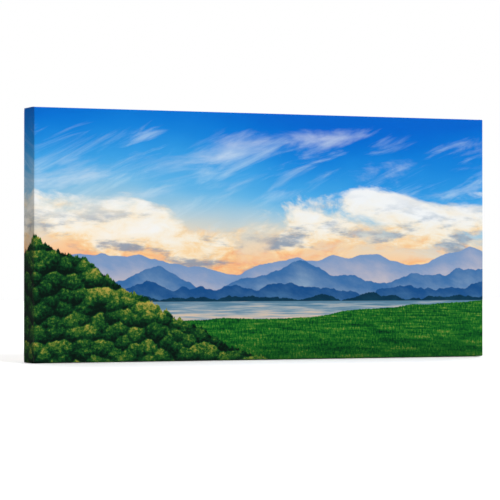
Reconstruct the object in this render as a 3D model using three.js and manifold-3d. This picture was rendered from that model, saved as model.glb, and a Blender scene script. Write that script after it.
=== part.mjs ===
// A stretched canvas print, gallery-wrapped: printed cotton cloth pulled round a mitred frame of pine stretcher
// bars, folded over at the back and stapled, with corner keys, a sawtooth hanger and two wall pads.
//
// Millimetres, +Z up, +X to the right seen from the front, +Y towards the wall. The wall is the plane y = 0, and
// the origin is the middle of the hanger's rear face, which bears on that wall.
import * as THREE from "three";
import { RoundedBoxGeometry } from "three/addons/geometries/RoundedBoxGeometry.js";
import { mergeVertices } from "three/addons/utils/BufferGeometryUtils.js";
import Module from "manifold-3d";

const wasm = await Module();
wasm.setup();

// Finished size over the cloth, and the room that the hanger and the pads keep behind it
const WIDTH = 610;
const HEIGHT = 305;
const DEPTH = 38;
const WALL_GAP = 3;

// Clearance between two pieces that lie on each other
const SEAT = 0.3;
// How far a cutting shape runs past the face that it cuts
const PAST = 2;

// Cloth, with the width that is turned over behind
const CLOTH = 0.5;
const CLOTH_EDGE_R = 1.5;
const CLOTH_EDGE_STEPS = 3;
const FOLD = 22;

// Stretcher bars: their width seen from behind, then the bead that carries the cloth's edge, and the step and
// slope that keep the rest of the bar off the cloth
const BAR_FACE = 38;
const BEAD = 6;
const EASED = 1;
const STEP_RUN = 2;
const STEP_FALL = 2.5;
const SLOPE_FALL = 4.5;
const CORNER_EASED = 1.4;

// Corner keys: flat wedges in a slot of each bar's end. Level and upright ones lie in two layers and cross
const KEY_LENGTH = 42;
const KEY_INSERT = 22;
const KEY_TIP = 9;
const KEY_HEAD = 20;
const KEY_BEVEL = 6;
const KEY_THICK = 3;
const KEY_SLOT = 16.4;
const LEVEL_KEY_DEPTH = 13;
const UPRIGHT_KEY_DEPTH = 19;

// Staples: a line of them along each fold, and one across each corner
const STAPLE_CROWN = 12;
const STAPLE_WIRE = 1.2;
const STAPLE_THICK = 0.6;
const STAPLE_LEG = 8;
const STAPLE_FROM_EDGE = 14;
const STAPLE_FROM_CORNER = 46;
const STAPLES_LEVEL_SIDE = 9;
const STAPLES_UPRIGHT_SIDE = 4;
const CORNER_STAPLE_FROM_EDGE = 12.5;

// Sawtooth hanger: a strip with flat feet and a raised middle, toothed along its lower edge
const HANGER_LENGTH = 45;
const HANGER_HEIGHT = 9.5;
const HANGER_THICK = 0.9;
const HANGER_FOOT = 7.5;
const HANGER_RAMP = 2.5;
const TOOTH_COUNT = 9;
const TOOTH_PITCH = 2.6;
const TOOTH_FLAT = 0.5;
const TOOTH_DEPTH = 1.8;
const CENTRE_TOOTH_DEPTH = 2.8;

// The hanger's nails
const NAIL_R = 0.7;
const NAIL_LENGTH = 14;
const NAIL_POINT = 2.5;
const NAIL_HEAD_R = 2;
const NAIL_HEAD_THICK = 0.7;
const NAIL_HEAD_DOME = 0.3;
const NAIL_SIDES = 12;

// Wall pads on the lower corners
const PAD_R = 6;
const PAD_EDGE = 0.6;
const PAD_SIDES = 32;
const PAD_FROM_SIDE = 27;
const PAD_FROM_BOTTOM = 11;

// Planes across the depth
const backOfCloth = -WALL_GAP;
const frontOfCloth = backOfCloth - DEPTH;
const backOfBars = backOfCloth - CLOTH - SEAT;
const frontOfBars = frontOfCloth + CLOTH + SEAT;

// The bar frame's outer size, and the middle of the canvas: the hanger is centred on the wood inside the fold
const frameWidth = WIDTH - 2 * (CLOTH + SEAT);
const frameHeight = HEIGHT - 2 * (CLOTH + SEAT);
const bareWood = CLOTH + SEAT + BAR_FACE - FOLD;
const middleZ = FOLD + bareWood / 2 - HEIGHT / 2;
const hangerZ = -middleZ;

// Each side of the frame is the top side turned about Y: its bar's length and outer face, and its keys' layer
const SIDES = [
  { name: "top", turn: 0, length: frameWidth, out: frameHeight / 2, keyDepth: UPRIGHT_KEY_DEPTH },
  { name: "right", turn: 1, length: frameHeight, out: frameWidth / 2, keyDepth: LEVEL_KEY_DEPTH },
  { name: "bottom", turn: 2, length: frameWidth, out: frameHeight / 2, keyDepth: UPRIGHT_KEY_DEPTH },
  { name: "left", turn: 3, length: frameHeight, out: frameWidth / 2, keyDepth: LEVEL_KEY_DEPTH },
];

const printedCloth = new THREE.MeshStandardMaterial({ color: 0x2f7fc4, roughness: 0.75, metalness: 0 });
const pine = new THREE.MeshStandardMaterial({ color: 0xdcb987, roughness: 0.7, metalness: 0 });
const keyWood = new THREE.MeshStandardMaterial({ color: 0xc79a62, roughness: 0.75, metalness: 0 });
const stapleWire = new THREE.MeshStandardMaterial({ color: 0xb9bcc0, roughness: 0.35, metalness: 0.9 });
const platedSteel = new THREE.MeshStandardMaterial({ color: 0xc4c3be, roughness: 0.3, metalness: 0.9 });
const padRubber = new THREE.MeshStandardMaterial({ color: 0x2b2b2c, roughness: 0.8, metalness: 0 });

// A closed geometry as a solid that can be cut and joined
function solidOf(geometry) {
  const loose = geometry.index ? geometry.toNonIndexed() : geometry.clone();
  const places = new THREE.BufferGeometry().setAttribute("position", loose.getAttribute("position"));
  const merged = mergeVertices(places, 1e-4);
  return new wasm.Manifold(
    new wasm.Mesh({
      numProp: 3,
      vertProperties: new Float32Array(merged.attributes.position.array),
      triVerts: new Uint32Array(merged.index.array),
    }),
  );
}

function geometryOf(solid) {
  const mesh = solid.getMesh();
  const indexed = new THREE.BufferGeometry();
  indexed.setAttribute("position", new THREE.BufferAttribute(mesh.vertProperties, 3));
  indexed.setIndex(new THREE.BufferAttribute(mesh.triVerts, 1));
  const faceted = indexed.toNonIndexed();
  faceted.computeVertexNormals();
  return faceted;
}

function cutAll(solid, cutters) {
  return cutters.reduce((left, cutter) => left.subtract(cutter), solid);
}

function boxBetween(low, high) {
  const size = high.map((value, axis) => value - low[axis]);
  const middle = low.map((value, axis) => value + size[axis] / 2);
  return new THREE.BoxGeometry(...size).translate(...middle);
}

// An outline of [x, z] points, made solid between two planes across the depth
function plate(outline, front, back) {
  const shape = new THREE.Shape(outline.map(([x, z]) => new THREE.Vector2(x, z)));
  const raised = new THREE.ExtrudeGeometry(shape, { depth: back - front, bevelEnabled: false });
  return raised.rotateX(Math.PI / 2).translate(0, back, 0);
}

function turnedTo(geometry, side) {
  return geometry.rotateY((side.turn * Math.PI) / 2);
}

// The cloth is one sheet: front, four sides, and the fold behind, open over the frame's inside
function clothSolid() {
  const middle = (frontOfCloth + backOfCloth) / 2;
  const layer = (inset) =>
    new RoundedBoxGeometry(
      WIDTH - 2 * inset,
      DEPTH - 2 * inset,
      HEIGHT - 2 * inset,
      CLOTH_EDGE_STEPS,
      CLOTH_EDGE_R - inset,
    ).translate(0, middle, 0);
  const halfOpenWidth = WIDTH / 2 - FOLD;
  const halfOpenHeight = HEIGHT / 2 - FOLD;
  const window = boxBetween(
    [-halfOpenWidth, backOfCloth - PAST, -halfOpenHeight],
    [halfOpenWidth, backOfCloth + PAST, halfOpenHeight],
  );
  return cutAll(solidOf(layer(0)), [solidOf(layer(CLOTH)), solidOf(window)]);
}

// The bar's section, drawn with x inwards from its outer face and y across the depth
function barSection() {
  const shape = new THREE.Shape();
  shape.moveTo(0, frontOfBars + EASED);
  shape.quadraticCurveTo(0, frontOfBars, EASED, frontOfBars);
  shape.lineTo(BEAD, frontOfBars);
  shape.lineTo(BEAD + STEP_RUN, frontOfBars + STEP_FALL);
  shape.lineTo(BAR_FACE - EASED, frontOfBars + SLOPE_FALL);
  shape.lineTo(BAR_FACE, frontOfBars + SLOPE_FALL + EASED);
  shape.lineTo(BAR_FACE, backOfBars - EASED);
  shape.quadraticCurveTo(BAR_FACE, backOfBars, BAR_FACE - EASED, backOfBars);
  shape.lineTo(EASED, backOfBars);
  shape.quadraticCurveTo(0, backOfBars, 0, backOfBars - EASED);
  return shape;
}

// One bar as the top side: its section run along X, its ends mitred, and a key slot cut into each end
function barSolid(side) {
  const run = new THREE.ExtrudeGeometry(barSection(), {
    depth: side.length,
    bevelEnabled: false,
    curveSegments: 3,
  });
  const alongX = new THREE.Matrix4().makeBasis(
    new THREE.Vector3(0, 0, -1),
    new THREE.Vector3(0, 1, 0),
    new THREE.Vector3(1, 0, 0),
  );
  run.applyMatrix4(alongX).translate(-side.length / 2, 0, side.out);

  const half = side.length / 2 - (SEAT / 2) * Math.SQRT2;
  const inner = side.out - BAR_FACE;
  const rightEdge = [
    [half - BAR_FACE - PAST, inner - PAST],
    [half - CORNER_EASED / 2, side.out - CORNER_EASED / 2],
    [half - CORNER_EASED, side.out],
    [half - CORNER_EASED - PAST, side.out + PAST],
  ];
  const leftEdge = rightEdge.map(([x, z]) => [-x, z]).reverse();
  const mitred = plate([...rightEdge, ...leftEdge], frontOfBars - PAST, backOfBars + PAST);

  const keyMiddle = backOfBars - side.keyDepth;
  const slots = [-1, 1].map((end) => {
    const near = side.length / 2 - BAR_FACE - KEY_SLOT;
    const far = side.length / 2 + PAST;
    return boxBetween(
      [end > 0 ? near : -far, keyMiddle - KEY_THICK / 2 - SEAT, inner - PAST],
      [end > 0 ? far : -near, keyMiddle + KEY_THICK / 2 + SEAT, inner + KEY_INSERT + SEAT],
    );
  });
  const shaped = solidOf(run).intersect(solidOf(mitred));
  const slotted = cutAll(shaped, slots.map(solidOf));
  return solidOf(turnedTo(geometryOf(slotted), side));
}

// A key pushed up into the end of the top bar, its straight edge beside the neighbouring bar
function keyGeometry(side, end) {
  const straight = end * (side.length / 2 - BAR_FACE - SEAT);
  const tip = side.out - BAR_FACE + KEY_INSERT;
  const foot = tip - KEY_LENGTH;
  const outline = [
    [straight, tip],
    [straight, foot],
    [straight - end * (KEY_HEAD - KEY_BEVEL), foot],
    [straight - end * KEY_HEAD, foot + KEY_BEVEL],
    [straight - end * KEY_TIP, tip],
  ];
  const middle = backOfBars - side.keyDepth;
  return turnedTo(plate(outline, middle - KEY_THICK / 2, middle + KEY_THICK / 2), side);
}

// A staple about its own middle, its crown along X just behind the cloth and its legs towards the front
function stapleGeometry() {
  const half = STAPLE_CROWN / 2;
  const inner = half - STAPLE_THICK;
  const under = backOfCloth + SEAT;
  const shape = new THREE.Shape([
    new THREE.Vector2(-half, under - STAPLE_LEG),
    new THREE.Vector2(-inner, under - STAPLE_LEG),
    new THREE.Vector2(-inner, under),
    new THREE.Vector2(inner, under),
    new THREE.Vector2(inner, under - STAPLE_LEG),
    new THREE.Vector2(half, under - STAPLE_LEG),
    new THREE.Vector2(half, under + STAPLE_THICK),
    new THREE.Vector2(-half, under + STAPLE_THICK),
  ]);
  const run = new THREE.ExtrudeGeometry(shape, { depth: STAPLE_WIRE, bevelEnabled: false });
  return run.translate(0, 0, -STAPLE_WIRE / 2);
}

// The two slits that a staple's legs make in the cloth and the wood
function staplePunch(staple) {
  const half = STAPLE_CROWN / 2;
  const deep = backOfCloth + SEAT - STAPLE_LEG - SEAT;
  return [-1, 1].map((leg) => {
    const near = half - STAPLE_THICK - SEAT;
    const far = half + SEAT;
    const slit = boxBetween(
      [leg > 0 ? near : -far, deep, -STAPLE_WIRE / 2 - SEAT],
      [leg > 0 ? far : -near, backOfCloth + PAST, STAPLE_WIRE / 2 + SEAT],
    );
    return solidOf(slit.applyMatrix4(staple.matrix));
  });
}

// Where the staples lie: name, x, z and turn about Y
function stapleMeshes() {
  const geometry = stapleGeometry();
  const staples = [];
  const add = (name, x, z, turn) => {
    const staple = new THREE.Mesh(geometry, stapleWire);
    staple.name = name;
    staple.position.set(x, 0, z);
    staple.rotation.y = turn;
    staple.updateMatrix();
    staples.push(staple);
  };
  for (const side of SIDES) {
    const level = side.turn % 2 === 0;
    const count = level ? STAPLES_LEVEL_SIDE : STAPLES_UPRIGHT_SIDE;
    const outer = (level ? HEIGHT : WIDTH) / 2 - STAPLE_FROM_EDGE;
    const reach = (level ? WIDTH : HEIGHT) / 2 - STAPLE_FROM_CORNER;
    const turn = (side.turn * Math.PI) / 2;
    for (let i = 0; i < count; i += 1) {
      const along = reach * ((2 * i) / (count - 1) - 1);
      const place = new THREE.Vector3(along, 0, outer).applyAxisAngle(new THREE.Vector3(0, 1, 0), turn);
      add(`staple_${side.name}_${i + 1}`, place.x, place.z, turn);
    }
  }
  for (const [row, up] of [["upper", 1], ["lower", -1]]) {
    for (const [hand, right] of [["left", -1], ["right", 1]]) {
      const x = right * (WIDTH / 2 - CORNER_STAPLE_FROM_EDGE);
      const z = up * (HEIGHT / 2 - CORNER_STAPLE_FROM_EDGE);
      add(`staple_${row}_${hand}`, x, z, (up * right * Math.PI) / 4);
    }
  }
  return staples;
}

// The hanger about the origin: a bent strip, notched below, with a nail hole in each foot
function hangerSolid() {
  const half = HANGER_LENGTH / 2;
  const rampOut = half - HANGER_FOOT;
  const rampIn = rampOut - HANGER_RAMP;
  const foot = backOfBars + SEAT + HANGER_THICK;
  const rearLine = [
    [-half, foot],
    [-rampOut, foot],
    [-rampIn, 0],
    [rampIn, 0],
    [rampOut, foot],
    [half, foot],
  ];
  const frontLine = rearLine.map(([x, y]) => [x, y - HANGER_THICK]).reverse();
  const shape = new THREE.Shape([...rearLine, ...frontLine].map(([x, y]) => new THREE.Vector2(x, y)));
  const strip = new THREE.ExtrudeGeometry(shape, { depth: HANGER_HEIGHT, bevelEnabled: false });
  strip.translate(0, 0, -HANGER_HEIGHT / 2);

  const lower = -HANGER_HEIGHT / 2;
  const notchHalf = (TOOTH_PITCH - TOOTH_FLAT) / 2;
  const middleTooth = (TOOTH_COUNT - 1) / 2;
  const notches = Array.from({ length: TOOTH_COUNT }, (_, i) => {
    const x = (i - middleTooth) * TOOTH_PITCH;
    const depth = i === middleTooth ? CENTRE_TOOTH_DEPTH : TOOTH_DEPTH;
    const outline = [
      [x - notchHalf, lower - PAST],
      [x + notchHalf, lower - PAST],
      [x + notchHalf, lower],
      [x, lower + depth],
      [x - notchHalf, lower],
    ];
    return solidOf(plate(outline, -HANGER_THICK - PAST, PAST));
  });
  return cutAll(solidOf(strip), [...notches, ...nailPlaces().map((x) => nailHole(x, 0))]);
}

function nailPlaces() {
  const reach = (HANGER_LENGTH - HANGER_FOOT) / 2;
  return [-reach, reach];
}

// A nail's hole in the hanger and the wood, at x and z
function nailHole(x, z) {
  const front = backOfBars + SEAT + HANGER_THICK - NAIL_LENGTH - SEAT;
  const hole = new THREE.CylinderGeometry(NAIL_R + SEAT, NAIL_R + SEAT, PAST - front, NAIL_SIDES);
  return solidOf(hole.translate(x, (PAST + front) / 2, z));
}

// A nail along Y, its head behind the hanger's foot and its point towards the front
function nailGeometry() {
  const underHead = backOfBars + HANGER_THICK + 2 * SEAT;
  const point = underHead - NAIL_LENGTH;
  const top = underHead + NAIL_HEAD_THICK;
  const profile = [
    [0, point],
    [NAIL_R, point + NAIL_POINT],
    [NAIL_R, underHead],
    [NAIL_HEAD_R, underHead],
    [NAIL_HEAD_R, top - NAIL_HEAD_DOME],
    [NAIL_HEAD_R / 2, top],
    [0, top],
  ];
  return new THREE.LatheGeometry(profile.map(([r, y]) => new THREE.Vector2(r, y)), NAIL_SIDES);
}

// A round pad from the cloth to the wall, its rim eased
function padGeometry() {
  const profile = [
    [0, backOfCloth + SEAT],
    [PAD_R, backOfCloth + SEAT],
    [PAD_R, -PAD_EDGE],
    [PAD_R - PAD_EDGE, 0],
    [0, 0],
  ];
  return new THREE.LatheGeometry(profile.map(([r, y]) => new THREE.Vector2(r, y)), PAD_SIDES);
}

const group = new THREE.Group();

function add(name, geometry, material, x = 0, z = 0) {
  const mesh = new THREE.Mesh(geometry, material);
  mesh.name = name;
  mesh.position.set(x, 0, z);
  group.add(mesh);
}

const staples = stapleMeshes();
const punches = staples.flatMap(staplePunch);
const pilotHoles = nailPlaces().map((x) => nailHole(x, hangerZ));

add("canvas", geometryOf(cutAll(clothSolid(), punches)), printedCloth);
for (const side of SIDES) {
  add(`bar_${side.name}`, geometryOf(cutAll(barSolid(side), [...punches, ...pilotHoles])), pine);
  add(`key_${side.name}_a`, keyGeometry(side, -1), keyWood);
  add(`key_${side.name}_b`, keyGeometry(side, 1), keyWood);
}
group.add(...staples);
add("hanger", geometryOf(hangerSolid()), platedSteel, 0, hangerZ);
nailPlaces().forEach((x, i) => add(`hanger_nail_${i + 1}`, nailGeometry(), platedSteel, x, hangerZ));
for (const [hand, right] of [["left", -1], ["right", 1]]) {
  add(`pad_${hand}`, padGeometry(), padRubber, right * (WIDTH / 2 - PAD_FROM_SIDE), PAD_FROM_BOTTOM - HEIGHT / 2);
}
group.position.z = middleZ;

export default group;
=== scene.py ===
import math
import random

import bmesh
import bpy
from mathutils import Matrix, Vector


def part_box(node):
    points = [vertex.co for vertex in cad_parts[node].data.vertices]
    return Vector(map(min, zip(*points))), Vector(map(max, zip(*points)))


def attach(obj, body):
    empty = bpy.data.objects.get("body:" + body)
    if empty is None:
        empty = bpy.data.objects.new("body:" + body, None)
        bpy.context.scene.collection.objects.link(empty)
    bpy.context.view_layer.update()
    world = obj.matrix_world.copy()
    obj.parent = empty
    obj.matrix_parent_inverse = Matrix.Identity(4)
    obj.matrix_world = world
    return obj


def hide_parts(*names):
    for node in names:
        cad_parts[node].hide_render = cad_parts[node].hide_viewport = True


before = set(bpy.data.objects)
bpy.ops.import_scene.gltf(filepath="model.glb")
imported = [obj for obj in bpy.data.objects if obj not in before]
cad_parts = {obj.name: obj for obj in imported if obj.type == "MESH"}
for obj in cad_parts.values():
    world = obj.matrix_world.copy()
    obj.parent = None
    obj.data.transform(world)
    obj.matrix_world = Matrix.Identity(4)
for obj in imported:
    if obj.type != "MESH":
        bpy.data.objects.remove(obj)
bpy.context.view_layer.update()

MM = 0.001

# The canvas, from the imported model
canvas_low, canvas_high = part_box("canvas")
WIDTH = canvas_high.x - canvas_low.x
HEIGHT = canvas_high.z - canvas_low.z
DEPTH = canvas_high.y - canvas_low.y
CENTRE_Z = (canvas_high.z + canvas_low.z) / 2
FRONT_Y = canvas_low.y
BARS_BACK_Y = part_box("bar_top")[1].y

# Cloth: its thickness, its bend round the bars, the width folded over behind, and the pitch of its threads
CLOTH_THICK = 0.35 * MM
EDGE_R = 1.2 * MM
FOLD = 22 * MM
THREAD_PITCH = 0.65 * MM

# The cloth's grid, in millimetres: lines round a bend, where a bend ends, steps over the 32 mm between a
# side's two bends and over the rest of a fold, lines near the front's edge, and the pitch inside them
BEND_LINES = 3
BEND_END = 3.0
SIDE_STEPS = 9
SIDE_STEP = 32 / SIDE_STEPS
FOLD_STEPS = 7
EDGE_LINES = (6.0, 10.0, 15.0)
GRID_PITCH = 6

# Flat places closer together than this are one
SAME_WITHIN = 0.001 * MM

# The cloth's cut: how far a corner's ear stops short of the back, how far the level folds lap past the
# mitre, and how far the hand-cut edge wanders, in a long and a short wave
EAR_END = 3 * MM
MITRE_OVERLAP = 1.5 * MM
CUT_WANDER = 0.5 * MM
SHORT_WAVE_SHARE = 0.6
LEVEL_WAVES = (31 * MM, 11.3 * MM)
UPRIGHT_WAVES = (27 * MM, 9.7 * MM)

# How the cloth lies off a plain box. The front sags a little inside the bars
FRONT_SAG = 0.35 * MM
SAG_FROM = 5 * MM
SAG_TO = 70 * MM

# Each corner's ear lies folded double under a level side's cloth and raises it. Its two halves and the
# crease at the corner are drawn in. A run is how far from a bend this takes to come to its full amount
EAR_LIFT = 0.5 * MM
EAR_RISE = 5 * MM
UPRIGHT_HALF_UNDER = 0.78 * MM
LEVEL_HALF_UNDER = 0.73 * MM
CREASE_UNDER = 0.37 * MM
CREASE_WIDTH = 0.4 * MM
TUCK_RUN = 4 * MM
TURN_RUN = 6 * MM

# Behind, the level folds lie over the ends of the upright ones, and the folds are dented by each staple and
# slack between two of them
LAP_LIFT = 0.45 * MM
STAPLE_DENT = 0.2 * MM
DENT_ALONG = 6 * MM
DENT_ACROSS = 2.5 * MM
FOLD_SLACK = 0.35 * MM

# Print: how far it runs on behind, how it ends there, how dark it is, and where it is worn beside the bend
BLEED = 7 * MM
PRINT_END_RAGGED = 0.6 * MM
PRINT_END_BLUR = 0.2 * MM
PRINT_TONE = 0.62
WORN_AT = 0.5 * MM
WORN_REACH = 1.2 * MM

# Staples: how many there are in a row, where the rows lie, and the shape of their wire
STAPLES = {"level": 9, "upright": 4}
STAPLE_FROM_EDGE = 14 * MM
STAPLE_FROM_CORNER = 46 * MM
STAPLE_CROWN = 12 * MM
STAPLE_WIRE = 1.2 * MM
STAPLE_THICK = 0.6 * MM
STAPLE_LEG = 8 * MM
STAPLE_BEND = 0.8 * MM
STAPLE_SAG = 0.12 * MM

# How far a staple is out of true, in degrees and in place, and how each kind turns: along its fold, or across
# a corner
STAPLE_SKEW = 2.5
STAPLE_SLIP = 0.2 * MM
STAPLE_TURNS = {
    "staple_top": 0,
    "staple_bottom": 0,
    "staple_left": 90,
    "staple_right": 90,
    "staple_upper_right": 45,
    "staple_lower_left": 45,
    "staple_upper_left": -45,
    "staple_lower_right": -45,
}

# Loose threads at the cut edge
THREAD_R = 0.1 * MM
THREAD_LEAST = 0.8 * MM
THREAD_MORE = 1.5 * MM
THREAD_SPACING = 8 * MM
THREAD_FROM_CORNER = 8 * MM
THREAD_STEPS = 6
THREAD_LEAN = 0.6
THREAD_CURL = 1.3

# Sides of the round pieces, and the rounding of the model's own sharp edges
NAIL_SIDES = 40
PAD_SIDES = 64
HANGER_EASED = 0.12 * MM
KEY_EASED = 0.35 * MM

# Light that reaches everything from all round, and the floor
FILL_LIGHT = 0.09
FLOOR_REACH = 6.0
FLOOR_UNDER = 0.8 * MM
FLOOR_TONE = 0.86

# Camera: where the photograph was taken from, and its field of view
CAMERA_PLACE = (-1.2311, -2.7687, -0.1679)
CAMERA_TURN = 23.872
CAMERA_PITCH = 0.552
CAMERA_LENS = 173.68
SENSOR = 36


def linear(red, green, blue):
    """A display colour, 0 to 255, as the linear colour that a shader takes."""
    parts = [v / 255 for v in (red, green, blue)]
    return (*[v / 12.92 if v <= 0.04045 else ((v + 0.055) / 1.055) ** 2.4 for v in parts], 1)


def smooth(value, low, high):
    """0 up to low and 1 from high on, with a smooth rise between them."""
    t = min(max((value - low) / (high - low), 0), 1)
    return t * t * (3 - 2 * t)


def nodes_named(*starts):
    """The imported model's nodes whose names start with any of these."""
    return [name for name in sorted(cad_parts) if name.startswith(starts)]


# Nodes of a material

class Net:
    """Short calls that add nodes to a material and join them. An input is a socket, a number or a colour."""

    def __init__(self, name):
        self.material = bpy.data.materials.new(name)
        self.material.use_nodes = True
        self.tree = self.material.node_tree
        self.shader = self.tree.nodes["Principled BSDF"]

    def set(self, socket, value):
        if isinstance(value, bpy.types.NodeSocket):
            self.tree.links.new(value, socket)
        else:
            socket.default_value = value

    def finish(self, **inputs):
        """Sets the shader's inputs, named with underscores for spaces, and gives the material."""
        for name, value in inputs.items():
            self.set(self.shader.inputs[name.replace("_", " ")], value)
        return self.material

    def node(self, kind, inputs=(), **settings):
        made = self.tree.nodes.new(kind)
        for name, value in settings.items():
            setattr(made, name, value)
        for key, value in dict(inputs).items():
            self.set(made.inputs[key], value)
        return made

    def math(self, operation, *values):
        return self.node("ShaderNodeMath", enumerate(values), operation=operation).outputs[0]

    def add(self, *values):
        total = values[0]
        for value in values[1:]:
            total = self.math("ADD", total, value)
        return total

    def times(self, *values):
        total = values[0]
        for value in values[1:]:
            total = self.math("MULTIPLY", total, value)
        return total

    def less(self, a, b):
        return self.math("SUBTRACT", a, b)

    def around(self, value, by=1.0):
        """A noise from 0 to 1, made to swing by that much about 0."""
        return self.times(self.less(value, 0.5), by)

    def step(self, value, low, high, to_low=0.0, to_high=1.0):
        """value run smoothly from to_low at low to to_high at high."""
        inputs = {"Value": value, "From Min": low, "From Max": high, "To Min": to_low, "To Max": to_high}
        return self.node("ShaderNodeMapRange", inputs, interpolation_type="SMOOTHSTEP").outputs["Result"]

    def mix(self, share, low, high, blend="MIX"):
        """One colour laid over another by a share from 0 to 1."""
        made = self.node("ShaderNodeMix", data_type="RGBA", blend_type=blend)
        for key, value in {"Factor": share, "A": low, "B": high}.items():
            self.set(next(s for s in made.inputs if s.name == key and s.enabled), value)
        return next(s for s in made.outputs if s.enabled)

    def ramp(self, value, stops):
        """Colours along value. stops are (place, colour) pairs."""
        made = self.node("ShaderNodeValToRGB", {"Fac": value})
        band = made.color_ramp
        band.interpolation = "B_SPLINE" if len(stops) > 3 else "LINEAR"
        while len(band.elements) < len(stops):
            band.elements.new(0.5)
        for element, (place, colour) in zip(band.elements, stops):
            element.position = place
            element.color = colour
        return made.outputs["Color"]

    def point(self, x, y, z=0.0):
        return self.node("ShaderNodeCombineXYZ", {"X": x, "Y": y, "Z": z}).outputs[0]

    def scaled(self, parts, factors):
        """A point whose parts are each stretched by their own factor."""
        return self.point(*[self.times(part, factor) for part, factor in zip(parts, factors)])

    def parts(self, vector):
        made = self.node("ShaderNodeSeparateXYZ", {"Vector": vector})
        return [made.outputs[axis] for axis in "XYZ"]

    def noise(self, place, scale=1.0, detail=6.0, roughness=0.5, distortion=0.0, dimensions="2D"):
        inputs = {
            "Vector": place,
            "Scale": scale,
            "Detail": detail,
            "Roughness": roughness,
            "Distortion": distortion,
        }
        return self.node("ShaderNodeTexNoise", inputs, noise_dimensions=dimensions).outputs[0]

    def noise_along(self, value, scale, detail=6.0, roughness=0.5):
        inputs = {"W": value, "Scale": scale, "Detail": detail, "Roughness": roughness}
        return self.node("ShaderNodeTexNoise", inputs, noise_dimensions="1D").outputs[0]

    def bump(self, height, distance, strength=1.0, normal=None):
        inputs = {"Height": height, "Distance": distance, "Strength": strength}
        made = self.node("ShaderNodeBump", inputs)
        if normal is not None:
            self.set(made.inputs["Normal"], normal)
        return made.outputs["Normal"]

    def object_mm(self):
        """The surface's place in the model's frame, in millimetres."""
        coords = self.node("ShaderNodeTexCoord").outputs["Object"]
        scaled = self.node("ShaderNodeVectorMath", {0: coords, "Scale": 1 / MM}, operation="SCALE")
        return scaled.outputs[0]


# The picture, in units of its own height: x runs from 0 to 2 and y from 0 to 1

def sky(net, x, y):
    """Blue overhead and warm at the horizon."""
    drift = net.noise(net.scaled((x, y), (0.8, 1.8)), scale=1.3, detail=3.0)
    height = net.add(y, net.around(drift, 0.26), net.times(net.less(x, 1.0), 0.05))
    return net.ramp(
        height,
        [
            (0.28, linear(244, 150, 128)),
            (0.36, linear(255, 194, 136)),
            (0.44, linear(250, 224, 186)),
            (0.53, linear(176, 208, 222)),
            (0.64, linear(84, 184, 236)),
            (0.82, linear(0, 140, 226)),
            (1.00, linear(0, 92, 204)),
        ],
    )


def cloud_bank(net, x, y, scale, stretch, slant, seed, cover, softness, low, top):
    """Clouds between two heights: how much they cover at each place, and how thick they are there."""
    level = net.add(net.times(y, stretch), net.times(x, slant * stretch), seed)
    bend = net.noise(net.point(net.add(x, seed), level), scale=scale * 0.6, detail=2.0)
    place = net.point(net.add(x, net.times(bend, 0.5), seed), net.add(level, net.times(bend, 0.35)))
    mass = net.noise(place, scale=scale, detail=9.0, roughness=0.6, distortion=0.25)
    window = net.times(net.step(y, low - 0.12, low + 0.06), net.step(y, top + 0.1, top - 0.1))
    share = net.step(net.add(mass, net.times(net.less(window, 1.0), 0.5)), cover, cover + softness)
    return share, mass


def clouds(net, x, y, behind):
    """High veils, and a warm-lit bank over the horizon with blue-grey undersides."""
    veils = {"scale": 1.5, "stretch": 3.6, "slant": -0.22, "seed": 3.7, "low": 0.6, "top": 0.98}
    streaks = {"scale": 2.4, "stretch": 5.0, "slant": -0.4, "seed": 8.6, "low": 0.45, "top": 0.98}
    bank = {"scale": 1.5, "stretch": 2.3, "slant": 0.1, "seed": 33.8, "low": 0.3, "top": 0.74}
    high, _ = cloud_bank(net, x, y, cover=0.5, softness=0.3, **veils)
    thin, _ = cloud_bank(net, x, y, cover=0.47, softness=0.3, **streaks)
    share, mass = cloud_bank(net, x, y, cover=0.44, softness=0.13, **bank)
    streaked = net.mix(net.times(thin, 0.45), behind, linear(206, 230, 244))
    veiled = net.mix(net.times(high, 0.6), streaked, linear(226, 234, 242))
    curl_place = net.scaled((x, y), (1.0, 2.2))
    curls = net.noise(curl_place, scale=9.0, detail=7.0, roughness=0.66, distortion=0.4)
    lit = net.ramp(
        net.add(net.times(y, 1.15), net.around(mass), net.around(curls, 0.5)),
        [
            (0.36, linear(238, 138, 128)),
            (0.46, linear(255, 180, 112)),
            (0.57, linear(255, 220, 164)),
            (0.68, linear(255, 244, 222)),
            (0.86, linear(252, 252, 250)),
        ],
    )
    under_place = net.point(net.times(x, 1.2), net.add(net.times(y, 4.2), 7.0))
    under = net.noise(under_place, scale=2.1, detail=8.0, roughness=0.6)
    shade = net.times(net.step(under, 0.49, 0.62), net.step(y, 0.72, 0.46), 0.85)
    body = net.mix(shade, lit, linear(104, 138, 172))
    return net.mix(net.times(share, 0.92), veiled, body)


def below(net, y, line, blur):
    """1 under a line and 0 over it, with a narrow soft edge."""
    return net.step(net.less(line, y), -blur / 2, blur / 2)


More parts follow.
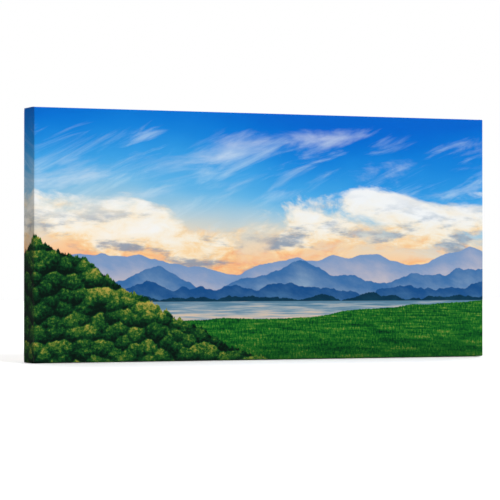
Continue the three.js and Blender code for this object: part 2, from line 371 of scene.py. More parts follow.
def ranges(net, x, y, behind):
    """Mountain ranges, one before another, each hazier towards its foot."""
    layers = [
        # base, rise, scale, seed, roughness, top colour, foot colour
        (0.400, 0.28, 1.9, 2.1, 0.42, linear(118, 152, 196), linear(214, 200, 200)),
        (0.342, 0.25, 2.6, 9.4, 0.46, linear(56, 110, 168), linear(150, 176, 200)),
        (0.290, 0.18, 3.4, 5.2, 0.50, linear(20, 78, 138), linear(92, 140, 178)),
        (0.252, 0.08, 5.0, 14.6, 0.62, linear(4, 50, 76), linear(40, 98, 120)),
    ]
    colour = behind
    for base, rise, scale, seed, roughness, top, foot in layers:
        crest = net.noise_along(net.add(x, seed), scale, roughness=roughness)
        line = net.add(base, net.around(crest, rise))
        place = net.point(net.add(x, net.times(y, 0.8), seed), net.times(y, 1.5))
        slopes = net.noise(place, scale=scale * 4, detail=5.0, roughness=0.6)
        haze = net.add(net.times(net.less(line, y), 5.5), net.around(slopes, 0.7))
        hills = net.mix(net.step(haze, -0.1, 1.0), top, foot)
        colour = net.mix(below(net, y, line, 0.004), colour, hills)
    return colour


def lake(net, x, y, behind):
    """Still water under the ranges, with the warm sky broken up in it."""
    ripple = net.noise(net.scaled((x, y), (3.0, 60.0)), scale=1.6, detail=5.0, roughness=0.6)
    water = net.ramp(
        net.add(net.times(net.less(0.235, y), 4.5), net.around(ripple, 0.9)),
        [
            (0.00, linear(70, 120, 150)),
            (0.20, linear(150, 176, 190)),
            (0.45, linear(250, 208, 164)),
            (0.75, linear(170, 190, 206)),
            (1.00, linear(74, 132, 180)),
        ],
    )
    return net.mix(net.step(y, 0.238, 0.234), behind, water)


def meadow(net, x, y, behind):
    """Grassland in the foreground, its marks larger towards the viewer."""
    swell = net.noise_along(net.add(x, 4.0), 1.6, detail=3.0)
    tufts = net.noise_along(x, 90.0, detail=3.0, roughness=0.7)
    rise = net.times(net.step(x, 0.7, 2.0), 0.075)
    line = net.add(0.155, rise, net.around(swell, 0.06), net.around(tufts, 0.008))
    near = net.math("DIVIDE", 1.0, net.less(0.30, y))
    across = net.times(net.less(x, 1.0), near)
    bands = net.noise(net.scaled((across, near), (0.8, 1.3)), scale=1.7, roughness=0.66)
    blades = net.noise(net.scaled((across, near), (9.0, 9.0)), scale=3.0, detail=5.0, roughness=0.7)
    stalks = net.noise(net.scaled((x, y), (150.0, 60.0)), detail=3.0, roughness=0.6)
    grass = net.ramp(
        net.add(net.around(bands, 1.3), net.around(blades, 0.9), net.around(stalks, 1.0), 0.50),
        [
            (0.10, linear(0, 38, 26)),
            (0.35, linear(4, 78, 28)),
            (0.60, linear(22, 114, 34)),
            (0.82, linear(72, 136, 46)),
            (1.00, linear(160, 152, 74)),
        ],
    )
    shaded = net.mix(net.step(y, 0.0, 0.12, 0.62, 1.0), linear(2, 30, 16), grass)
    return net.mix(below(net, y, line, 0.003), behind, shaded)


def wood(net, x, y, behind):
    """A wooded slope that comes down from the left, made of lit and shaded crowns, wider than high."""
    flatness = 1.15
    humps = net.noise_along(net.add(x, 1.7), 4.0, detail=2.0)
    tops = net.noise_along(net.add(x, 6.7), 26.0, detail=7.0, roughness=0.75)
    fall = net.times(net.step(x, 1.25, -0.35), 0.60)
    line = net.add(-0.04, fall, net.around(humps, 0.08), net.around(tops, 0.07))
    place = net.point(x, net.times(y, flatness))
    bend = net.times(net.noise(place, scale=24.0, detail=3.0), 0.02)
    crown_place = net.point(net.add(x, bend), net.times(net.add(y, bend), flatness))
    crowns = net.node(
        "ShaderNodeTexVoronoi",
        {"Vector": crown_place, "Scale": 17.0, "Smoothness": 0.35, "Randomness": 1.0},
        voronoi_dimensions="2D",
        feature="SMOOTH_F1",
    )
    above_middle = net.less(net.times(y, flatness), net.parts(crowns.outputs["Position"])[1])
    leaves = net.noise(place, scale=70.0, roughness=0.75)
    masses = net.noise(place, scale=5.0, detail=3.0)
    tone = net.add(
        0.72,
        net.times(above_middle, 10.0),
        net.times(crowns.outputs["Distance"], -0.35),
        net.around(leaves, 1.6),
        net.around(masses, 0.9),
        net.times(net.math("MAXIMUM", net.less(y, line), -0.10), 0.9),
    )
    foliage = net.ramp(
        tone,
        [
            (0.05, linear(2, 22, 14)),
            (0.32, linear(6, 52, 28)),
            (0.52, linear(18, 84, 32)),
            (0.72, linear(74, 118, 40)),
            (0.95, linear(178, 160, 72)),
        ],
    )
    return net.mix(below(net, y, line, 0.003), behind, foliage)


def picture(net, x, y):
    """The whole landscape, laid on from the back to the front."""
    scene = clouds(net, x, y, sky(net, x, y))
    for part in (ranges, lake, meadow, wood):
        scene = part(net, x, y, scene)
    return scene


# Materials of the cloth, by its own flat places u and v: metres from the lower left corner of the front

def cloth_places(net):
    """The cloth's own flat places, u and v."""
    coords = net.node("ShaderNodeUVMap", uv_map="flat").outputs["UV"]
    u, v, _ = net.parts(coords)
    return u, v


def threads_one_way(net, section, wave, sense):
    """Height of the threads of one set, which are round across and rise and dip in turn along."""
    top = net.math("POWER", net.math("ABSOLUTE", section), 0.65)
    rise = net.times(wave, net.math("SIGN", section), 0.75 * sense)
    return net.times(top, net.add(rise, 0.5))


def weave(net, u, v):
    """Plain weave with uneven threads, as a height from 0 to 1."""
    warp = net.noise(net.scaled((u, v), (900.0, 40.0)), detail=2.0)
    weft = net.noise(net.scaled((u, v), (40.0, 900.0)), detail=2.0)
    across = net.math("COSINE", net.add(net.times(u, math.pi / THREAD_PITCH), net.around(warp, 1.2)))
    along = net.math("COSINE", net.add(net.times(v, math.pi / THREAD_PITCH), net.around(weft, 1.2)))
    upright = threads_one_way(net, across, along, 1)
    level = threads_one_way(net, along, across, -1)
    crossed = net.times(net.math("SMOOTH_MAX", upright, level, 0.1), 0.8)
    return net.add(crossed, net.around(warp, 0.5), net.around(weft, 0.5))


def past_edge(net, u, v):
    """How far a place on the cloth is outside the front; below zero on the front."""
    outside_u = net.less(net.math("ABSOLUTE", net.less(u, WIDTH / 2)), WIDTH / 2)
    outside_v = net.less(net.math("ABSOLUTE", net.less(v, HEIGHT / 2)), HEIGHT / 2)
    return net.math("MAXIMUM", outside_u, outside_v)


def inked(net, u, v, out, threads):
    """The picture, mirrored at the front's edges, with the white ground showing where it is thin or worn."""
    x = net.math("PINGPONG", net.times(u, 1 / HEIGHT), WIDTH / HEIGHT)
    y = net.math("PINGPONG", net.times(v, 1 / HEIGHT), 1.0)
    toned = net.mix(1.0, picture(net, x, y), (PRINT_TONE, PRINT_TONE, PRINT_TONE, 1), blend="MULTIPLY")
    rubbed = net.noise(net.scaled((u, v), (90.0, 90.0)), detail=5.0, roughness=0.7)
    at_fold = net.step(net.math("ABSOLUTE", net.add(out, -WORN_AT)), WORN_REACH, 0.0)
    worn = net.times(at_fold, net.step(rubbed, 0.45, 0.7), net.step(threads, 0.4, 1.0), 0.18)
    thin = net.step(threads, 0.1, 0.9, 0.001, 0.0)
    return net.mix(net.add(worn, thin), toned, linear(226, 226, 220))


def primed_ground(net, u, v, out, threads):
    """How much of the bare primed cloth shows, past the print's ragged end behind, and its colour, painted
    darker between the threads as shade in the weave's hollows.
    """
    ragged = net.around(net.noise(net.scaled((u, v), (700.0, 700.0))), PRINT_END_RAGGED)
    printed_to = DEPTH + BLEED
    bare = net.step(net.add(out, ragged), printed_to - PRINT_END_BLUR, printed_to + PRINT_END_BLUR)
    # Primed colour: lighter on the thread tops and darker between them, which is painted shade of the weave's
    # hollows
    ground = net.mix(net.step(threads, 0.0, 0.9), linear(209, 207, 200), linear(222, 220, 213))
    return bare, ground


def printed_cloth():
    """The outer side: matt ink on primed cotton."""
    net = Net("printed_cloth")
    u, v = cloth_places(net)
    out = past_edge(net, u, v)
    threads = weave(net, u, v)
    bare, ground = primed_ground(net, u, v, out, threads)
    slub = net.noise(net.scaled((u, v), (260.0, 260.0)), detail=4.0, roughness=0.6)
    relief = net.bump(threads, 0.14 * MM, 0.8)
    relief = net.bump(slub, 0.12 * MM, 0.3, relief)
    return net.finish(
        Base_Color=net.mix(bare, inked(net, u, v, out, threads), ground),
        Roughness=net.step(threads, 0.0, 1.0, 0.8, 0.66),
        Normal=relief,
        Specular_IOR_Level=0.03,
    )


def raw_cotton():
    """The inner side: unbleached cotton with darker flecks, its threads uneven in tone, and painted shade in
    the hollows of the weave.
    """
    net = Net("raw_cotton")
    u, v = cloth_places(net)
    threads = weave(net, u, v)
    drift = net.around(net.noise(net.scaled((u, v), (17.0, 17.0)), detail=2.0), 3.0)
    warp = net.noise(net.point(net.times(u, 1100.0), net.add(net.times(v, 9.0), drift)), detail=4.0)
    weft = net.noise(net.point(net.add(net.times(u, 7.0), drift), net.times(v, 1100.0)), detail=4.0)
    # Tone: uneven from thread to thread, which is the cotton's own, and lighter on the weave's high points,
    # which is painted shade in its hollows
    tone = net.add(0.5, net.around(warp, 0.6), net.around(weft, 0.6), net.around(threads, 0.2))
    fibre = net.ramp(
        tone,
        [
            (0.20, linear(200, 189, 165)),
            (0.50, linear(221, 212, 192)),
            (0.85, linear(234, 228, 212)),
        ],
    )
    flecks = net.noise(net.scaled((u, v), (1300.0, 520.0)), detail=1.0)
    colour = net.mix(net.step(flecks, 0.78, 0.82, 0.0, 0.5), fibre, linear(150, 128, 96))
    relief = net.bump(net.add(threads, net.around(tone, 0.8)), 0.12 * MM, 0.8)
    return net.finish(Base_Color=colour, Roughness=0.92, Normal=relief, Specular_IOR_Level=0.2)


# Materials of the other pieces, by their places in millimetres

def loose_cotton():
    """Ends of thread that have come out of the cloth's cut edge."""
    net = Net("loose_cotton")
    fibre = net.noise(net.object_mm(), scale=6.0, detail=4.0, roughness=0.7, dimensions="3D")
    return net.finish(
        Base_Color=net.ramp(fibre, [(0.3, linear(196, 186, 164)), (0.7, linear(238, 233, 220))]),
        Roughness=0.9,
        Normal=net.bump(fibre, 0.05 * MM, 0.7),
        Specular_IOR_Level=0.2,
    )


def timber(name, along, pale, mid, dark, ring_mm, seed):
    """Planed softwood or hardwood with its grain along one axis, from rings about a far pith line."""
    net = Net(name)
    axes = net.parts(net.object_mm())
    length = axes["XYZ".index(along)]
    across = axes["XYZ".index("Z" if along == "X" else "X")]
    depth = axes[1]
    place = (length, across, depth)
    wander = net.noise(net.point(net.times(length, 0.006), seed), detail=2.0)
    bow = net.noise(net.scaled(place, (0.007, 0.05, 0.05)), detail=3.0, dimensions="3D")
    side = net.add(across, 47.0 + 13.0 * seed, net.around(wander, 30.0))
    deep = net.add(depth, 70.0 + 5.0 * seed)
    pith = net.math("SQRT", net.add(net.times(side, side), net.times(deep, deep)))
    turn = net.math("FRACT", net.add(net.times(pith, 1 / ring_mm), net.around(bow, 2.6)))
    late = net.times(net.step(turn, 0.35, 0.85), net.step(turn, 1.0, 0.93))
    fibre = net.noise(net.scaled(place, (0.035, 2.6, 2.6)), detail=5.0, roughness=0.65, dimensions="3D")
    patch = net.noise(net.scaled(place, (0.008, 0.05, 1.0)), detail=2.0, dimensions="3D")
    base = net.mix(net.step(patch, 0.3, 0.7), pale, mid)
    ringed = net.mix(net.times(late, 0.62), base, dark)
    return net.finish(
        Base_Color=net.mix(net.step(fibre, 0.35, 0.75, 0.0, 0.45), ringed, dark),
        Roughness=net.step(fibre, 0.3, 0.7, 0.52, 0.72),
        Normal=net.bump(net.add(net.times(late, 0.6), net.around(fibre, 1.0)), 0.18 * MM, 0.6),
        Specular_IOR_Level=0.35,
    )


def plated_metal(name, colour, dark, roughness, grain):
    """Plated steel with fine rolling marks and a little dulling."""
    net = Net(name)
    place = net.object_mm()
    marks = net.noise(net.scaled(net.parts(place), (0.4, grain, grain)), detail=4.0, dimensions="3D")
    spots = net.noise(place, scale=0.8, detail=4.0, roughness=0.7, dimensions="3D")
    worn = net.step(spots, 0.52, 0.72, 0.0, 0.5)
    return net.finish(
        Base_Color=net.mix(worn, colour, dark),
        Metallic=1.0,
        Roughness=net.add(roughness, net.around(marks, 0.2), net.times(worn, 0.25)),
        Normal=net.bump(marks, 0.03 * MM, 0.5),
    )


def soft_rubber():
    """Dark rubber with a fine grain and some dust."""
    net = Net("pad_rubber")
    place = net.object_mm()
    grain = net.noise(place, scale=3.0, detail=4.0, roughness=0.65, dimensions="3D")
    dust = net.step(net.noise(place, scale=0.5, detail=5.0, dimensions="3D"), 0.5, 0.8, 0.0, 0.35)
    return net.finish(
        Base_Color=net.mix(dust, linear(40, 40, 41), linear(92, 90, 86)),
        Roughness=net.step(grain, 0.3, 0.7, 0.6, 0.85),
        Normal=net.bump(grain, 0.06 * MM, 0.6),
        Specular_IOR_Level=0.4,
    )


# The cloth's flat grid, in metres from the middle of the front

def past_edges(u, v):
    """How far a flat place is past the front's upright and level edges."""
    return abs(u) - WIDTH / 2, abs(v) - HEIGHT / 2


def bend_lines():
    """Distances in millimetres from a bend at which the grid has a line."""
    return [EDGE_R / MM * k / BEND_LINES for k in range(1, BEND_LINES + 1)] + [BEND_END]


def strip_lines():
    """Distances past the front's edge at which the grid has a line, close together where the cloth bends."""
    depth, fold_width = DEPTH / MM, FOLD / MM
    bend = [0, *bend_lines()]
    side = [BEND_END + SIDE_STEP * i for i in range(1, SIDE_STEPS)]
    back = [depth - value for value in reversed(bend)] + [depth + value for value in bend[1:]]
    rest = fold_width - BEND_END
    fold = [depth + BEND_END + rest * i / FOLD_STEPS for i in range(1, FOLD_STEPS + 1)]
    return [value * MM for value in bend + side + back + fold]


def front_lines(half):
    """Distances from the middle of the front, up to just inside its edge."""
    inner = [half - value * MM for value in (*bend_lines(), *EDGE_LINES)]
    count = round(inner[-1] / (GRID_PITCH * MM))
    return [inner[-1] * i / count for i in range(count)] + inner[::-1]


def full_lines(half):
    """Every line of the grid one way, from one cut edge to the other."""
    outward = front_lines(half) + [half + value for value in strip_lines()]
    return [-value for value in reversed(outward[1:])] + outward


def in_cut(past_u, past_v):
    """True if a cell whose outer corner lies this far past the edges is part of the cloth."""
    in_ear = max(past_u, past_v) <= DEPTH - EAR_END + SAME_WITHIN
    return min(past_u, past_v) <= SAME_WITHIN or in_ear


def mitre_reach(behind):
    """How far from the middle a level fold runs, at a distance from its bend."""
    return WIDTH / 2 - behind + MITRE_OVERLAP * smooth(behind, 0, TURN_RUN)


def cut_wander(along, start, waves):
    """How far the hand-cut edge strays at a place along it, as a share of the fold's width."""
    long_wave, short_wave = waves
    stray = math.sin(along / long_wave + start) + SHORT_WAVE_SHARE * math.sin(along / short_wave)
    return stray * CUT_WANDER / FOLD


def trimmed(u, v):
    """A grid point moved onto the cloth's own cut: a hand-cut edge, and level folds mitred at their ends."""
    side_u, side_v = math.copysign(1, u), math.copysign(1, v)
    past_u, past_v = past_edges(u, v)
    if past_v > DEPTH:
        behind = past_v - DEPTH
        along = side_u * min(abs(u), mitre_reach(behind))
        behind *= 1 + cut_wander(along, side_v, LEVEL_WAVES)
        v = side_v * (HEIGHT / 2 + DEPTH + behind)
        u = side_u * min(abs(u), mitre_reach(behind))
    elif past_u > DEPTH:
        behind = (past_u - DEPTH) * (1 + cut_wander(v, side_u, UPRIGHT_WAVES))
        u = side_u * (WIDTH / 2 + DEPTH + behind)
    return u, v


# Where the cloth's flat places lie on the part: a place on a sharp-edged box, as its x, its distance from the
# front and its z, with the lift off that box

def staple_places(kind):
    """Where the staples of a level or upright side stand along it, from its middle."""
    reach = (WIDTH if kind == "level" else HEIGHT) / 2 - STAPLE_FROM_CORNER
    count = STAPLES[kind]
    return [reach * (2 * i / (count - 1) - 1) for i in range(count)]


def staple_pull(along, from_edge, kind):
    """The dent and the slack that a row of staples gives a fold, as a lift."""
    places = staple_places(kind)
    pitch = places[1] - places[0]
    nearest = min(abs(along - place) for place in places)
    away = (nearest / DENT_ALONG) ** 2 + ((from_edge - STAPLE_FROM_EDGE) / DENT_ACROSS) ** 2
    between = (1 - math.cos(2 * math.pi * min(nearest, pitch / 2) / pitch)) / 2
    slack = FOLD_SLACK * between * smooth(from_edge, STAPLE_FROM_EDGE, FOLD)
    return slack - STAPLE_DENT * math.exp(-away)


def ear_lift(depth, inwards):
    """How far an ear raises the cloth over it, at a depth from the front and inwards from the corner."""
    return EAR_LIFT * smooth(depth - inwards, 0, EAR_RISE) * smooth(depth, 0, TURN_RUN)


def on_ear(past_u, past_v):
    """The corner's square, folded along its diagonal: both halves lie on the level side, under its cloth."""
    inwards, depth = min(past_u, past_v), max(past_u, past_v)
    under = UPRIGHT_HALF_UNDER if past_u >= past_v else LEVEL_HALF_UNDER
    return inwards, depth, ear_lift(depth, inwards) - under * smooth(depth, 0, TUCK_RUN)


def upright_side_lift(past_u, past_v):
    """The upright side's end is drawn in, to pass under the level side."""
    drawn_in = (ear_lift(past_u, 0) - UPRIGHT_HALF_UNDER) * smooth(past_u, 0, TUCK_RUN)
    return drawn_in * smooth(past_v, -TUCK_RUN, 0)


def level_side_lift(inwards, past_v):
    """The level side lies over the ear, and dips at its end into the crease."""
    crease = smooth(past_v, 0, TUCK_RUN) * smooth(inwards, CREASE_WIDTH, 0)
    return ear_lift(past_v, inwards) - CREASE_UNDER * crease


def level_fold_lift(inwards, behind):
    """The level fold leaves the ear at its bend, and lies over the upright fold's end."""
    turned = smooth(behind, 0, TURN_RUN)
    lap = LAP_LIFT * smooth(inwards, FOLD + TURN_RUN, FOLD)
    return ear_lift(DEPTH, inwards) * (1 - turned) + lap * turned


def wrapped(u, v):
    """A flat place on the cloth as its place on the box and its lift off it."""
    side_u, side_v = math.copysign(1, u), math.copysign(1, v)
    past_u, past_v = past_edges(u, v)
    if past_u <= 0 and past_v <= 0:
        inside = min(-past_u, -past_v)
        return (u, 0, v), -FRONT_SAG * smooth(inside, SAG_FROM, SAG_TO)
    if past_u > 0 and past_v > 0:
        inwards, depth, lift = on_ear(past_u, past_v)
        return (side_u * (WIDTH / 2 - inwards), depth, side_v * HEIGHT / 2), lift
    if 0 < past_u <= DEPTH:
        return (side_u * WIDTH / 2, past_u, v), upright_side_lift(past_u, past_v)
    if past_u > DEPTH:
        behind = past_u - DEPTH
        return (side_u * (WIDTH / 2 - behind), DEPTH, v), staple_pull(v, behind, "upright")
    if past_v <= DEPTH:
        return (u, past_v, side_v * HEIGHT / 2), level_side_lift(-past_u, past_v)
    behind = past_v - DEPTH
    lift = level_fold_lift(-past_u, behind) + staple_pull(u, behind, "level")
    return (u, DEPTH, side_v * (HEIGHT / 2 - behind)), lift


def rounded(place, lift):
    """A place on the sharp-edged box moved onto the eased one, and lifted off it."""
    middle = Vector((0, DEPTH / 2, 0))
    half = Vector((WIDTH / 2, DEPTH / 2, HEIGHT / 2))
    local = Vector(place) - middle
    core = Vector([max(-(h - EDGE_R), min(h - EDGE_R, c)) for c, h in zip(local, half)])
    out = (local - core).normalized()
    return core + out * (EDGE_R + lift) + middle + Vector((0, FRONT_Y, CENTRE_Z))


# The cloth's mesh

def cloth_mesh():
    """The cloth's flat places, the same places on the part, and the faces between them."""
    lines_u, lines_v = full_lines(WIDTH / 2), full_lines(HEIGHT / 2)
    flat, places, index = [], [], {}

    def corner(i, j):
        place = trimmed(lines_u[i], lines_v[j])
        key = tuple(round(value / SAME_WITHIN) for value in place)
        if key not in index:
            index[key] = len(flat)
            flat.append(place)
            places.append(rounded(*wrapped(*place)))
        return index[key]

    faces = []
    for i in range(len(lines_u) - 1):
        for j in range(len(lines_v) - 1):
            past_u = max(abs(lines_u[i]), abs(lines_u[i + 1])) - WIDTH / 2
            past_v = max(abs(lines_v[j]), abs(lines_v[j + 1])) - HEIGHT / 2
            if not in_cut(past_u, past_v):
                continue
            quad = [corner(i, j), corner(i + 1, j), corner(i + 1, j + 1), corner(i, j + 1)]
            on_diagonal = min(past_u, past_v) > SAME_WITHIN and abs(past_u - past_v) < SAME_WITHIN
            if on_diagonal:
                start = 0 if (lines_u[i] > 0) == (lines_v[j] > 0) else 1
                turn = quad[start:] + quad[:start]
                faces += [turn[:3], [turn[0], turn[2], turn[3]]]
            else:
                faces.append(list(dict.fromkeys(quad)))
    return flat, places, [face for face in faces if len(face) > 2]


def make_cloth():
    """The whole cloth, printed outside and bare inside, with ears that are printed on both sides."""
    flat, places, faces = cloth_mesh()
    mesh = bpy.data.meshes.new("canvas_cloth")
    mesh.from_pydata(places, [], faces)
    layer = mesh.uv_layers.new(name="flat")
    for loop in mesh.loops:
        u, v = flat[loop.vertex_index]
        layer.data[loop.index].uv = (u + WIDTH / 2, v + HEIGHT / 2)
    face_cloth = printed_cloth()
    materials = [face_cloth, raw_cotton(), face_cloth]
    for material in materials:
        mesh.materials.append(material)
    for polygon in mesh.polygons:
        in_ear = all(min(past_edges(*flat[at])) >= 0 for at in polygon.vertices)
        polygon.material_index = len(materials) - 1 if in_ear else 0
    mesh.shade_smooth()
    cloth = bpy.data.objects.new("canvas_cloth", mesh)
    bpy.context.scene.collection.objects.link(cloth)
    thick = cloth.modifiers.new("thickness", "SOLIDIFY")
    thick.thickness = CLOTH_THICK
    thick.offset = -1
    # The inner side takes the material after the outer side's, or the last one again
    thick.material_offset = 1
    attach(cloth, "root")
    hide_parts("canvas")
    threads = [make_threads()]


# Shapes that the small pieces share

def new_piece(name, places, faces, material, slot, nodes=()):
    """A piece of the model, smooth but for its sharp edges, in place of the nodes that it stands for."""
    mesh = bpy.data.meshes.new(name)
    mesh.from_pydata(places, [], faces)
    sides = bmesh.new()
    sides.from_mesh(mesh)
    bmesh.ops.recalc_face_normals(sides, faces=sides.faces)
    sides.to_mesh(mesh)
    sides.free()
    mesh.shade_smooth()
    mesh.set_sharp_from_angle(angle=math.radians(40))
    mesh.materials.append(material)
    piece = bpy.data.objects.new(name, mesh)
    bpy.context.scene.collection.objects.link(piece)
    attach(piece, "root")
    if nodes:
        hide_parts(*nodes)
    return piece


def rounded_ring(thick, wide, radius, steps=3):
    """Offsets round the section of a flat bar with rounded corners."""
    ring = []
    for quarter, (a, b) in enumerate([(1, 1), (-1, 1), (-1, -1), (1, -1)]):
        for step in range(steps):
            turn = math.radians(90 * (quarter + step / (steps - 1)))
            across = a * (thick / 2 - radius) + radius * math.cos(turn)
            ring.append((across, b * (wide / 2 - radius) + radius * math.sin(turn)))
    return ring


def sweep(places, faces, line, ring, side):
    """Adds a closed bar along line. ring holds offsets across it and along side, which is square to it."""
    start, count = len(places), len(ring)
    for k, at in enumerate(line):
        ahead = line[min(k + 1, len(line) - 1)] - line[max(k - 1, 0)]
        across = ahead.cross(side).normalized()
        places += [at + across * a + side * b for a, b in ring]
    for k in range(len(line) - 1):
        low = start + k * count
        for j in range(count):
            after = (j + 1) % count
            faces.append([low + j, low + after, low + count + after, low + count + j])
    last = start + (len(line) - 1) * count
    faces.append([start + j for j in range(count)])
    faces.append([last + j for j in range(count)])


def turned(name, profile, sides, material, slot):
    """Stands in for a round node with a finer turned shape. profile holds radii and places from its front."""
    low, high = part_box(name)
    x, z = (low.x + high.x) / 2, (low.z + high.z) / 2
    places, faces, rings = [], [], []
    for radius, behind in profile:
        count = sides if radius > 0 else 1
        rings.append(range(len(places), len(places) + count))
        for k in range(count):
            turn = 2 * math.pi * k / sides
            across, up = radius * math.cos(turn), radius * math.sin(turn)
            places.append(Vector((x + across, low.y + behind, z + up)))
    for ring, after in zip(rings, rings[1:]):
        for k in range(sides):
            a, b = ring[k % len(ring)], ring[(k + 1) % len(ring)]
            c, d = after[(k + 1) % len(after)], after[k % len(after)]
            faces.append(list(dict.fromkeys([a, b, c, d])))
    new_piece(f"turned_{name}", places, faces, material, slot, [name])


# Loose ends of thread along the folds' cut edges

def cut_edge(kind, hand, along):
    """A place on the cloth's cut edge behind, and the way from it over the bare wood."""
    half = (HEIGHT if kind == "level" else WIDTH) / 2 + DEPTH + FOLD
    flat = (along, hand * half) if kind == "level" else (hand * half, along)
    inwards = Vector((0, 0, -hand)) if kind == "level" else Vector((-hand, 0, 0))
    return rounded(*wrapped(*trimmed(*flat))), inwards


def thread_line(chance, edge, inwards):
    """A thread that leaves the cloth's thickness, drops to the wood and wanders over it."""
    length = THREAD_LEAST + chance.expovariate(1 / THREAD_MORE)
    sideways = inwards.cross(Vector((0, 1, 0)))
    lean = chance.uniform(-THREAD_LEAN, THREAD_LEAN)
    curl = chance.uniform(-THREAD_CURL, THREAD_CURL)
    line = []
    for step in range(THREAD_STEPS + 1):
        share = step / THREAD_STEPS
        run = length * share - THREAD_LEAST
        place = edge + inwards * run + sideways * length * (lean * share + curl * share * share) / 2
        fall = smooth(run, -THREAD_LEAST / 2, THREAD_LEAST)
        place.y = (edge.y - CLOTH_THICK / 2) * (1 - fall) + (BARS_BACK_Y + THREAD_R) * fall
        line.append(place)
    return line


def make_threads():
    """The loose threads along every fold, as one piece."""
    chance = random.Random(11)
    ring = rounded_ring(2 * THREAD_R, 2 * THREAD_R, 0.9 * THREAD_R, steps=2)
    places, faces = [], []
    for kind, size in (("level", WIDTH), ("upright", HEIGHT)):
        reach = size / 2 - FOLD - THREAD_FROM_CORNER
        for hand in (-1, 1):
            for _ in range(round(2 * reach / THREAD_SPACING)):
                edge, inwards = cut_edge(kind, hand, chance.uniform(-reach, reach))
                sweep(places, faces, thread_line(chance, edge, inwards), ring, Vector((0, 1, 0)))
    return new_piece("loose_threads", places, faces, loose_cotton(), "printed_cloth")


# Staples, nails and pads

def staple_line():
    """The middle of a staple's wire, as pairs of a place along its crown and a place behind the crown."""
    half = (STAPLE_CROWN - STAPLE_THICK) / 2
    leg = [(-half, -STAPLE_LEG), (-half, -STAPLE_BEND)]
    for degrees in (22.5, 45, 67.5, 90):
        turn = math.radians(degrees)
        along = -half + STAPLE_BEND * (1 - math.cos(turn))
        leg.append((along, -STAPLE_BEND * (1 - math.sin(turn))))
    crown = [(-half / 2, -0.7 * STAPLE_SAG), (0, -STAPLE_SAG), (half / 2, -0.7 * STAPLE_SAG)]
    other_leg = [(-along, behind) for along, behind in reversed(leg)]
    return leg + crown + other_leg


def make_staples():
    """Every staple, each a little out of true, as one piece."""
    chance = random.Random(3)
    ring = rounded_ring(STAPLE_THICK, STAPLE_WIRE, STAPLE_THICK / 3)
    places, faces = [], []
    names = nodes_named("staple")
    for name in names:
        low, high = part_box(name)
        degrees = next(turn for start, turn in STAPLE_TURNS.items() if name.startswith(start))
        turn = math.radians(degrees + chance.uniform(-STAPLE_SKEW, STAPLE_SKEW))
        crown = Vector((math.cos(turn), 0, -math.sin(turn)))
        side = Vector((math.sin(turn), 0, math.cos(turn)))
        middle = (low + high) / 2 + side * chance.uniform(-STAPLE_SLIP, STAPLE_SLIP)
        middle.y = high.y - STAPLE_THICK / 2
        line = [middle + crown * along + Vector((0, behind, 0)) for along, behind in staple_line()]
        sweep(places, faces, line, ring, side)
    wire = plated_metal("staple_wire", linear(168, 170, 173), linear(96, 96, 98), roughness=0.32, grain=3.0)
    new_piece("staples", places, faces, wire, "staple_wire", names)


def make_nails(material):
    """Domed nails. The profile's radii and places are in millimetres."""
    shank = [(0, 0), (0.7, 2.5), (0.7, 13.95)]
    head = [(1.85, 14.0), (2.0, 14.08), (2.0, 14.36), (1.86, 14.52), (1.5, 14.62), (0.8, 14.69), (0, 14.7)]
    profile = [(radius * MM, behind * MM) for radius, behind in shank + head]
    for name in nodes_named("hanger_nail"):
        turned(name, profile, NAIL_SIDES, material, "plated_steel")


def make_pads(material):
    """Pads with a rounded rim and a dished face. The profile's radii and places are in millimetres."""
    side = [(0, 0), (5.85, 0), (6.0, 0.12), (6.0, 1.7), (5.93, 2.02), (5.75, 2.32)]
    rear = [(5.45, 2.55), (5.0, 2.68), (4.5, 2.7), (3.9, 2.66), (2.0, 2.6), (0, 2.59)]
    profile = [(radius * MM, behind * MM) for radius, behind in side + rear]
    for name in nodes_named("pad"):
        turned(name, profile, PAD_SIDES, material, "pad_rubber")


# The model's own pieces

def dress(names, material):
    """Gives the model's own pieces their material."""
    for name in names:
        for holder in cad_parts[name].material_slots:
            holder.material = material


def ease(names, radius):
    """Rounds the sharp edges of the model's own pieces."""
    for name in names:
        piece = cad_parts[name]
        weld = piece.modifiers.new("weld", "WELD")
        weld.merge_threshold = 0.005 * MM
        bevel = piece.modifiers.new("eased", "BEVEL")
        bevel.width = radius
        bevel.segments = 2
        bevel.limit_method = "ANGLE"
        bevel.angle_limit = math.radians(35)


def dress_wood():
    """Pine bars with their grain along them, and beech keys with theirs square to the bar that holds them."""
    pine = (linear(238, 216, 176), linear(230, 202, 158), linear(194, 152, 102))
    beech = (linear(222, 184, 136), linear(208, 166, 116), linear(164, 118, 72))
    for index, side in enumerate(("top", "right", "bottom", "left")):
        bar_grain, key_grain = ("X", "Z") if side in ("top", "bottom") else ("Z", "X")
        bar_wood = timber(f"pine_{side}", bar_grain, *pine, ring_mm=3.4, seed=1.0 + 0.7 * index)
        key_wood = timber(f"beech_{side}", key_grain, *beech, ring_mm=1.6, seed=3.1 + 0.9 * index)
        dress([f"bar_{side}"], bar_wood)
        dress(nodes_named(f"key_{side}"), key_wood)


# Stage, camera and light

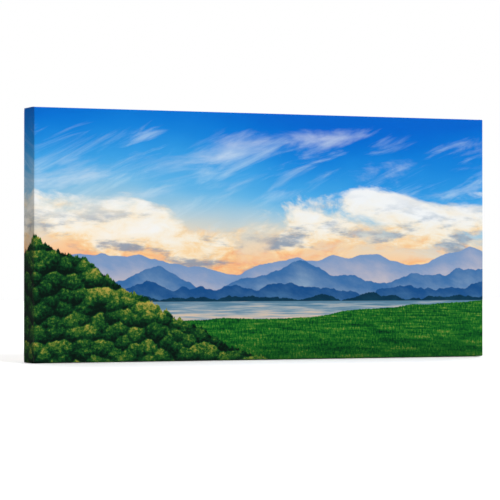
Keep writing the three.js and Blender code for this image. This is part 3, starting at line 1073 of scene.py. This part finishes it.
def make_camera():
    data = bpy.data.cameras.new("camera")
    data.sensor_width = SENSOR
    data.lens = CAMERA_LENS
    camera = bpy.data.objects.new("camera", data)
    camera.location = CAMERA_PLACE
    turn, pitch = math.radians(CAMERA_TURN), math.radians(CAMERA_PITCH)
    level = math.cos(pitch)
    forward = Vector((math.sin(turn) * level, math.cos(turn) * level, math.sin(pitch)))
    camera.rotation_euler = forward.to_track_quat("-Z", "Y").to_euler()
    bpy.context.scene.collection.objects.link(camera)
    bpy.context.scene.camera = camera


def make_sun(name, towards, strength, spread):
    """A large far light in a direction from the object. strength is its light on a plane that faces it."""
    data = bpy.data.lights.new(name, "SUN")
    data.energy = strength * math.pi
    data.angle = math.radians(spread)
    light = bpy.data.objects.new(name, data)
    light.rotation_euler = Vector(towards).to_track_quat("Z", "Y").to_euler()
    bpy.context.scene.collection.objects.link(light)


def make_world():
    """White where the camera sees it, and a low even fill for everything else."""
    world = bpy.data.worlds.new("studio")
    bpy.context.scene.world = world
    world.use_nodes = True
    tree = world.node_tree
    background = tree.nodes["Background"]
    path = tree.nodes.new("ShaderNodeLightPath")
    amount = tree.nodes.new("ShaderNodeMapRange")
    amount.inputs["To Min"].default_value = FILL_LIGHT
    amount.inputs["To Max"].default_value = 1.0
    tree.links.new(path.outputs["Is Camera Ray"], amount.inputs["Value"])
    tree.links.new(amount.outputs["Result"], background.inputs["Strength"])
    background.inputs["Color"].default_value = (1, 1, 1, 1)


def make_floor():
    place = (0, 0, canvas_low.z - FLOOR_UNDER)
    bpy.ops.mesh.primitive_plane_add(size=2 * FLOOR_REACH, location=place)
    floor = bpy.context.object
    floor.name = "floor"
    net = Net("floor")
    tone = (FLOOR_TONE, FLOOR_TONE, FLOOR_TONE, 1)
    floor.data.materials.append(net.finish(Base_Color=tone, Roughness=0.9, Specular_IOR_Level=0.1))


def make_stage():
    bpy.context.scene.view_settings.view_transform = "Standard"
    make_camera()
    make_sun("key", towards=(0.35, -0.80, 0.49), strength=1.15, spread=40)
    make_sun("back", towards=(0.25, 0.62, 0.74), strength=0.66, spread=40)
    make_sun("top", towards=(0, 0, 1), strength=0.45, spread=60)
    make_world()
    make_floor()


make_stage()
make_cloth()
make_staples()
dress_wood()
steel = plated_metal("plated_steel", linear(196, 194, 188), linear(110, 107, 100), roughness=0.28, grain=6.0)
dress(["hanger"], steel)
make_nails(steel)
make_pads(soft_rubber())
ease(["hanger"], HANGER_EASED)
ease(nodes_named("key"), KEY_EASED)
